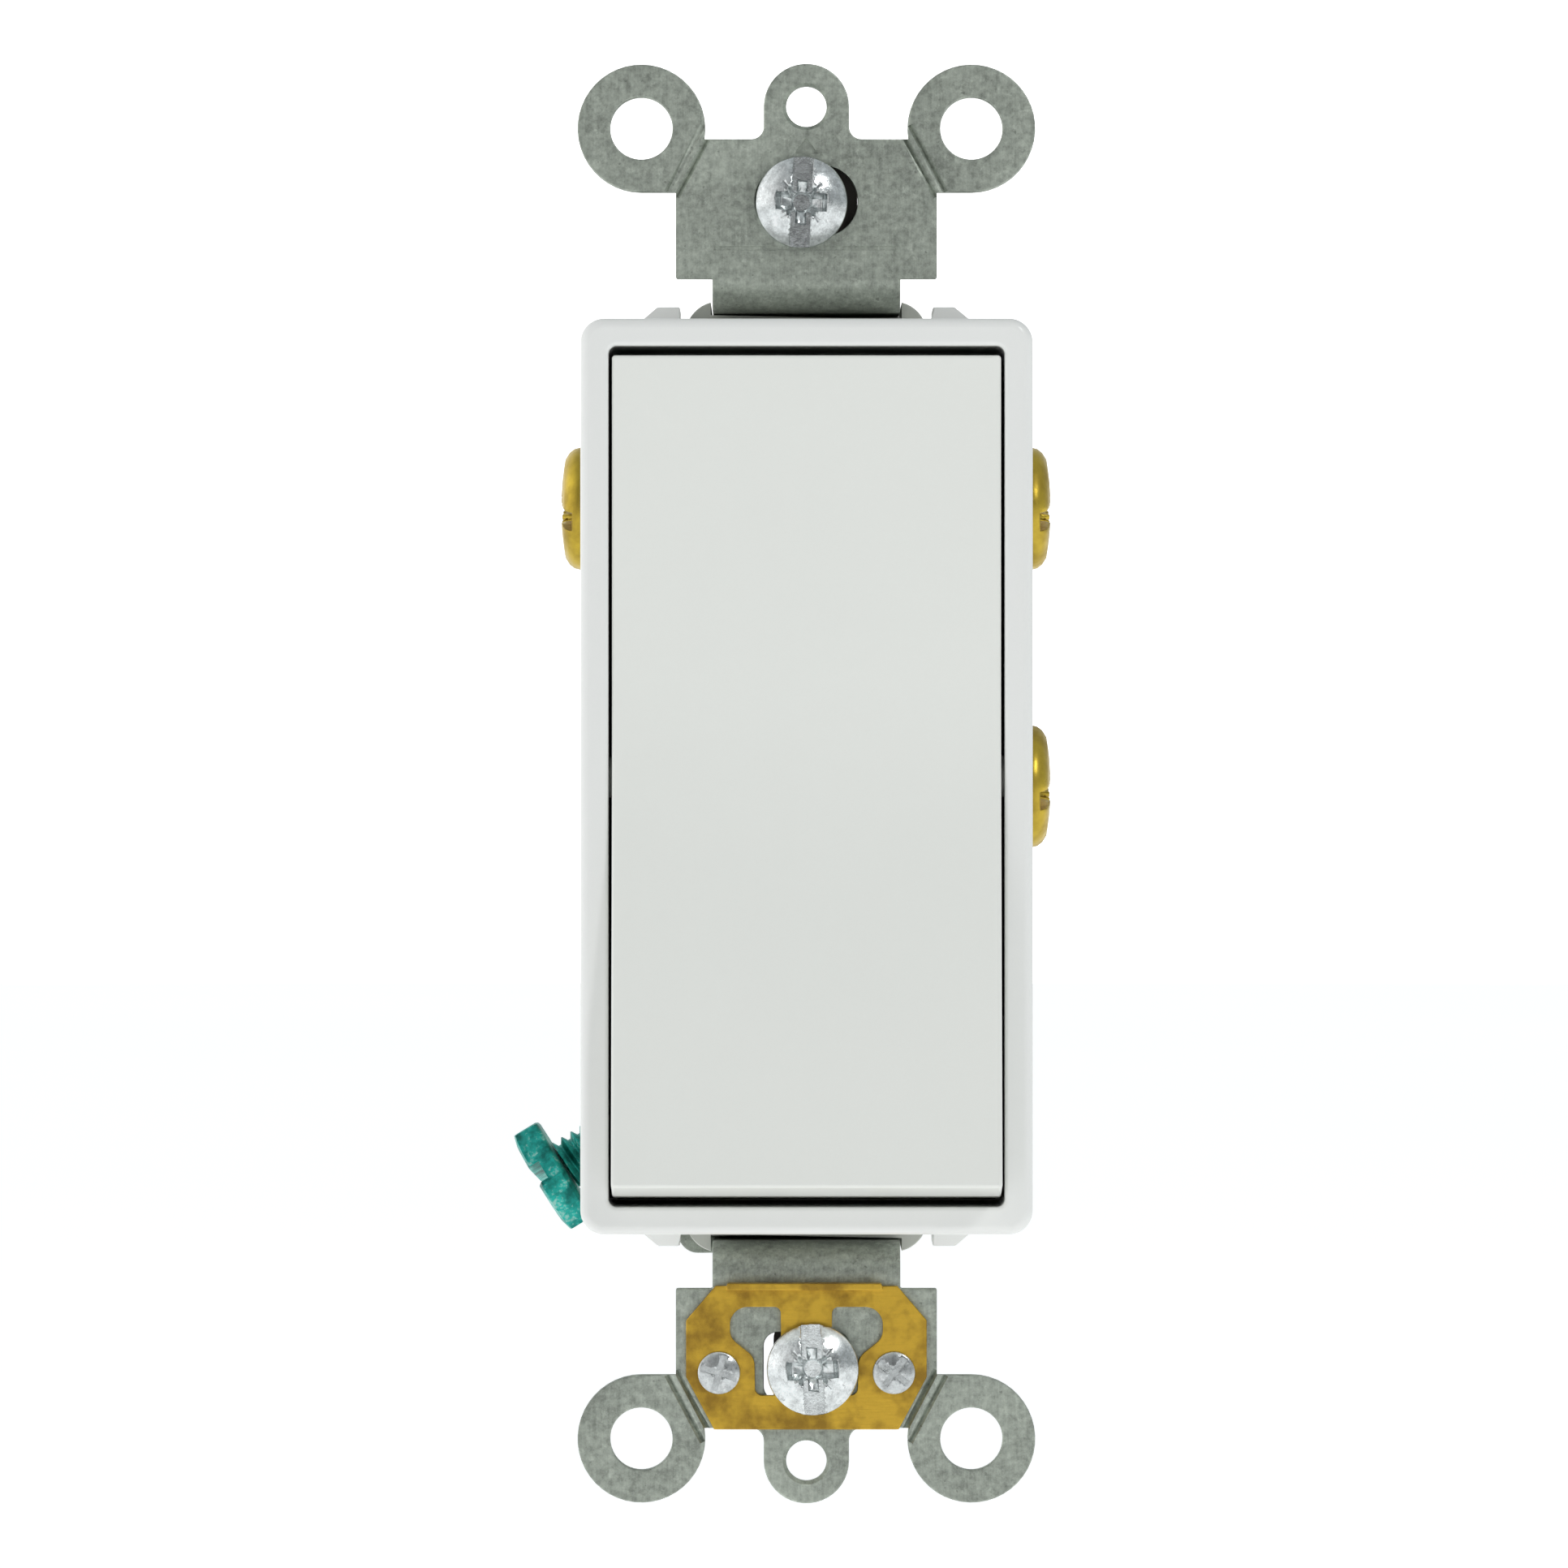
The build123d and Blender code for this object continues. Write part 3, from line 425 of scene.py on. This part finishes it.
def threaded_shank(mesh, origin, axis, radius, start, end, tip=0.9 * MM):
    """Add a threaded rod along the axis, from start to a tapered tip at end."""
    sizes = bpy.context.scene.switch_sizes
    pitch = sizes.thread_pitch
    root = radius - sizes.thread_depth
    steps = 36
    turns = math.ceil((end - start) / pitch) + 2
    rod = bmesh.new()
    # one turn of the thread, as (radius, share of the pitch)
    heights = [(root, 0), (root, 0.12), (radius, 0.44), (radius, 0.56), (root, 0.88), (root, 1)]
    profile = [rod.verts.new((r, 0, (h - 1) * pitch)) for r, h in heights]
    for below, above in zip(profile, profile[1:]):
        rod.edges.new((below, above))
    bmesh.ops.spin(
        rod,
        geom=rod.verts[:] + rod.edges[:],
        cent=(0, 0, 0),
        axis=(0, 0, 1),
        dvec=(0, 0, pitch / steps),
        angle=2 * math.pi * turns,
        steps=steps * turns,
        use_merge=False,
        use_duplicate=False,
    )
    bmesh.ops.remove_doubles(rod, verts=rod.verts, dist=0.002 * MM)
    cut_off(rod, (0, 0, 0), (0, 0, -1))
    cut_off(rod, (0, 0, end - start), (0, 0, 1))
    for vert in rod.verts:
        taper = max(0.0, (vert.co.z - (end - start - tip)) / tip)
        reach = Vector((vert.co.x, vert.co.y)).length
        allowed = radius - taper * (radius - 0.68 * root)
        if reach > allowed:
            vert.co.xy *= allowed / reach
    bmesh.ops.recalc_face_normals(rod, faces=rod.faces)
    turn = Vector((0, 0, 1)).rotation_difference(axis).to_matrix().to_4x4()
    placed = Matrix.Translation(origin + axis * start) @ turn
    bmesh.ops.transform(rod, matrix=placed, verts=rod.verts)
    spare = bpy.data.meshes.new("rod")
    rod.to_mesh(spare)
    rod.free()
    mesh.from_mesh(spare)
    bpy.data.meshes.remove(spare)


def finished(mesh, name, node, also=(), smooth=30):
    """Turn a bmesh into the piece that stands for a CAD node, riding on its body."""
    data = bpy.data.meshes.new(name)
    mesh.to_mesh(data)
    mesh.free()
    data.shade_smooth()
    data.set_sharp_from_angle(angle=math.radians(smooth))
    piece = bpy.data.objects.new(name, data)
    bpy.context.scene.collection.objects.link(piece)
    even = piece.modifiers.new("even_normals", "WEIGHTED_NORMAL")
    even.keep_sharp = True
    even.weight = 80
    data.materials.append(finish_for(SLOTS[node]))
    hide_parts(node, *also)
    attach(piece, BODY_OF[node])
    return piece


def softened(node, name, width=None):
    """The piece for a node whose shape is right: a copy with its edges rounded."""
    mesh = merged_copy(node)
    break_edges(mesh, width or bpy.context.scene.switch_sizes.edge_break)
    return finished(mesh, name, node)


def screw_line(joint):
    """A screw's axis: a point on it and the direction its head faces."""
    turning = JOINTS[joint]
    return Vector(turning["pos_m"]), Vector(turning["axis"]).normalized()


def reach_along(node, origin, axis):
    """How far a node reaches along an axis, as its lowest and highest distances."""
    distances = [(v.co - origin) @ axis for v in frame["nodes"][node].data.vertices]
    return min(distances), max(distances)


def threaded_screw(node, name, joint, radius, kept, edge=0.07 * MM):
    """A screw: the solid kept to that depth below its crown, and a separate thread below."""
    shank_gap = 0.1 * MM  # from the cut face to the start of the thread
    origin, axis = screw_line(joint)
    tip, crown = reach_along(node, origin, axis)
    cut = crown - kept
    mesh = merged_copy(node)
    cut_off(mesh, origin + axis * cut, -axis)
    break_edges(mesh, edge)
    threaded_shank(mesh, origin, -axis, radius, shank_gap - cut, -tip)
    return finished(mesh, name, node, smooth=35)


# ---------- operators, one for each piece or group of like pieces ----------
class BuildStep(Operator):
    """Common ground of the build steps."""

    bl_options = {"REGISTER"}

    def execute(self, context):
        self.build(context)
        return {"FINISHED"}


class SWITCH_OT_strap(BuildStep):
    """Make the zinc-plated mounting strap and the rivets through its back bar"""

    bl_idname = "switch.strap"
    bl_label = "Mounting Strap"

    def build(self, context):
        softened("mounting_strap", "strap", 0.12 * MM)
        softened("back_rivets", "rear_rivets")


class SWITCH_OT_bezel(BuildStep):
    """Make the gloss white bezel with its snap arms"""

    bl_idname = "switch.bezel"
    bl_label = "Bezel"

    def build(self, context):
        softened("front_bezel", "bezel", 0.12 * MM)


class SWITCH_OT_paddle(BuildStep):
    """Make the rocking paddle"""

    bl_idname = "switch.paddle"
    bl_label = "Paddle"

    def build(self, context):
        softened("rocker_paddle", "paddle", 0.1 * MM)


class SWITCH_OT_housing(BuildStep):
    """Make the rear housing, the chamber's cover and the stop pads"""

    bl_idname = "switch.housing"
    bl_label = "Housing"

    def build(self, context):
        softened("rear_housing", "housing", 0.15 * MM)
        softened("chamber_cover", "cover")
        softened("bumper_pads", "stop_pads", 0.2 * MM)


class SWITCH_OT_terminals(BuildStep):
    """Make the brass terminals and the steel plates that clamp the wires"""

    bl_idname = "switch.terminals"
    bl_label = "Terminals and Clamps"

    def build(self, context):
        softened("common_terminal", "common_strip")
        softened("traveler_terminal_upper", "upper_traveler_strip")
        softened("traveler_terminal_lower", "lower_traveler_strip")
        for name in ("common", "upper_traveler", "lower_traveler"):
            softened(f"{name}_clamp_plate", f"{name}_clamp")


class SWITCH_OT_mechanism(BuildStep):
    """Make the plunger, its coil spring, the contact arm and the contacts"""

    bl_idname = "switch.mechanism"
    bl_label = "Contact Mechanism"

    def build(self, context):
        softened("spring_plunger", "plunger")
        softened("contact_arm", "rocker_arm")
        softened("moving_contacts", "rocker_contacts", 0.05 * MM)
        softened("fixed_contacts", "terminal_contacts", 0.05 * MM)
        self.coil(context)

    @staticmethod
    def coil(context):
        """A wire wound on the spring's own axis, which is the plunger's line of travel."""
        sizes = context.scene.switch_sizes
        wire = sizes.spring_wire / 2
        axis = Vector(JOINTS["plunger_slide"]["axis"])
        origin = Vector(JOINTS["paddle_tilt"]["pos_m"])
        low, high = reach_along("plunger_spring", origin, axis)
        steps = 28
        rise = (high - low - 2 * wire) / sizes.spring_turns
        mesh = bmesh.new()
        bmesh.ops.create_circle(mesh, cap_ends=False, radius=wire, segments=10)
        upright = Matrix.Translation((1.4 * MM - wire, 0, wire)) @ Matrix.Rotation(math.pi / 2, 4, "X")
        bmesh.ops.transform(mesh, matrix=upright, verts=mesh.verts)
        bmesh.ops.spin(
            mesh,
            geom=mesh.verts[:] + mesh.edges[:],
            cent=(0, 0, 0),
            axis=(0, 0, 1),
            dvec=(0, 0, rise / steps),
            angle=2 * math.pi * sizes.spring_turns,
            steps=steps * sizes.spring_turns,
            use_merge=False,
            use_duplicate=False,
        )
        bmesh.ops.holes_fill(mesh, edges=[e for e in mesh.edges if e.is_boundary], sides=0)
        bmesh.ops.recalc_face_normals(mesh, faces=mesh.faces)
        turn = Vector((0, 0, 1)).rotation_difference(axis).to_matrix().to_4x4()
        placed = Matrix.Translation(origin + axis * low) @ turn
        bmesh.ops.transform(mesh, matrix=placed, verts=mesh.verts)
        finished(mesh, "coil_spring", "plunger_spring", smooth=60)


class SWITCH_OT_terminal_screws(BuildStep):
    """Make the three terminal screws with their threads"""

    bl_idname = "switch.terminal_screws"
    bl_label = "Terminal Screws"

    def build(self, context):
        for name in ("common", "upper_traveler", "lower_traveler"):
            node = f"{name}_screw"
            threaded_screw(node, f"{name}_wire_screw", f"{node}_turn", NO_8_RADIUS, 2.65 * MM)


class SWITCH_OT_ground_screw(BuildStep):
    """Make the green hex-headed ground screw with its bare thread"""

    bl_idname = "switch.ground_screw"
    bl_label = "Ground Screw"

    def build(self, context):
        threaded_screw("ground_screw", "green_screw", "ground_screw_turn", NO_8_RADIUS, 2.2 * MM, 0.3 * MM)


class SWITCH_OT_device_screws(BuildStep):
    """Make the two screws that fix the switch to its box, and their washers"""

    bl_idname = "switch.device_screws"
    bl_label = "Device Screws"

    def build(self, context):
        for name, neck in (("upper", 2.5 * MM), ("lower", 3.0 * MM)):
            node = f"{name}_mounting_screw"
            threaded_screw(node, f"{name}_box_screw", f"{node}_turn", NO_6_RADIUS, 2.0 * MM + neck)
            # near-black washers: partly their own colour, partly painted shade beside the screw heads
            softened(f"{name}_screw_retainer", f"{name}_washer")


class SWITCH_OT_clip(BuildStep):
    """Make the brass grounding clip and its two rivets"""

    bl_idname = "switch.clip"
    bl_label = "Grounding Clip"

    def build(self, context):
        softened("grounding_clip", "brass_clip", 0.07 * MM)
        softened("clip_rivets", "staked_rivets", 0.05 * MM)


class SWITCH_OT_stage(BuildStep):
    """Make the pale floor, the soft studio light and the camera"""

    bl_idname = "switch.stage"
    bl_label = "Stage"

    def build(self, context):
        self.floor(context)
        self.surround(context)
        stage = context.scene.switch_stage
        self.softbox(context, "key", (-0.3, -0.6, -0.5), 0.3, stage.key_power)
        self.softbox(context, "fill", (0.42, -0.55, 0.5), 0.12, stage.fill_power)
        self.camera(context)

    @staticmethod
    def floor(context):
        """A wide round floor a little below the strap, glowing enough to hide its horizon."""
        below_strap = 24 * MM
        mesh = bmesh.new()
        bmesh.ops.create_circle(mesh, cap_ends=True, radius=3.0, segments=96)
        drop = Matrix.Translation((0, 0, CAD_BOX[0].z - below_strap))
        bmesh.ops.transform(mesh, matrix=drop, verts=mesh.verts)
        data = bpy.data.meshes.new("floor")
        mesh.to_mesh(data)
        mesh.free()
        floor = bpy.data.objects.new("floor", data)
        context.scene.collection.objects.link(floor)
        material, graph = new_graph("floor_white")
        paper = graph.noise(0.4, 3)
        graph.surface(
            base_color=graph.blend(paper, (0.93, 0.93, 0.93), (0.97, 0.97, 0.97)),
            roughness=0.9,
            emission_color=(0.42, 0.42, 0.42, 1),
            emission_strength=1.0,
        )
        data.materials.append(material)

    @staticmethod
    def surround(context):
        """White to the camera; as light, darker behind the camera and towards the upper right."""
        stage = context.scene.switch_stage
        world = bpy.data.worlds.new("studio")
        world.use_nodes = True
        context.scene.world = world
        graph = Graph(world.node_tree)
        facing = graph.add("ShaderNodeTexCoord", output=0)
        side, depth, height = (
            graph.add("ShaderNodeSeparateXYZ", {}, {0: facing}, output=axis) for axis in range(3)
        )
        dark, bright = stage.studio_dark, stage.surround
        stops = [(0.0, dark), (0.1, 0.5 * dark + 0.35 * bright), (0.32, bright)]
        toward = graph.ramp(0.5 + 0.5 * depth, stops)
        across = graph.ramp(0.5 + 0.3 * side + 0.32 * height, [(0.25, 1.0), (0.72, 0.0)])
        cool = (1 - stage.lean, 1 - 0.97 * stage.lean, 1 - 0.96 * stage.lean)
        cast = graph.blend(across, cool, (1, 1, 1))
        lit = graph.blend(toward, (0, 0, 0), cast)
        seen = graph.add("ShaderNodeLightPath", output=0)
        shown = graph.blend(seen, lit, (1, 1, 1))
        glow = graph.add("ShaderNodeBackground", {}, {"Color": shown, "Strength": stage.glow})
        graph.add("ShaderNodeOutputWorld", {}, {"Surface": glow})
        context.scene.view_settings.view_transform = "Standard"

    @staticmethod
    def softbox(context, name, place, size, power):
        """A square soft light aimed at the switch."""
        light = bpy.data.lights.new(name, "AREA")
        light.size = size
        light.energy = power
        lamp = bpy.data.objects.new(name, light)
        lamp.location = place
        lamp.rotation_euler = (-Vector(place)).to_track_quat("-Z", "Y").to_euler()
        context.scene.collection.objects.link(lamp)

    @staticmethod
    def camera(context):
        """A long lens square to the switch."""
        stage = context.scene.switch_stage
        data = bpy.data.cameras.new("camera")
        data.lens = data.sensor_width * stage.distance / stage.view_width
        data.clip_end = 20
        camera = bpy.data.objects.new("camera", data)
        camera.location = (-1.6 * MM, -stage.distance, -0.03 * MM)
        camera.rotation_euler = (math.pi / 2, 0, 0)
        context.scene.collection.objects.link(camera)
        context.scene.camera = camera


STEPS = (
    SWITCH_OT_strap,
    SWITCH_OT_bezel,
    SWITCH_OT_paddle,
    SWITCH_OT_housing,
    SWITCH_OT_terminals,
    SWITCH_OT_mechanism,
    SWITCH_OT_terminal_screws,
    SWITCH_OT_ground_screw,
    SWITCH_OT_device_screws,
    SWITCH_OT_clip,
    SWITCH_OT_stage,
)


class SWITCH_PT_panel(Panel):
    """The build steps and their settings"""

    bl_idname = "SWITCH_PT_panel"
    bl_label = "Wall Switch"
    bl_space_type = "VIEW_3D"
    bl_region_type = "UI"
    bl_category = "Wall Switch"

    def draw(self, context):
        for step in STEPS:
            self.layout.operator(step.bl_idname)
        for group in ("switch_finishes", "switch_sizes", "switch_stage"):
            settings = getattr(context.scene, group)
            for name in settings.__annotations__:
                self.layout.prop(settings, name)


GROUPS = {
    "switch_finishes": SwitchFinishes,
    "switch_sizes": SwitchSizes,
    "switch_stage": SwitchStage,
}


def register():
    for kind in (*GROUPS.values(), *STEPS, SWITCH_PT_panel):
        bpy.utils.register_class(kind)
    for name, group in GROUPS.items():
        setattr(bpy.types.Scene, name, PointerProperty(type=group))


def unregister():
    for name in GROUPS:
        delattr(bpy.types.Scene, name)
    for kind in (SWITCH_PT_panel, *reversed(STEPS), *GROUPS.values()):
        bpy.utils.unregister_class(kind)


def main():
    register()
    for step in STEPS:
        group, name = step.bl_idname.split(".")
        getattr(getattr(bpy.ops, group), name)()


if __name__ == "__main__":
    main()
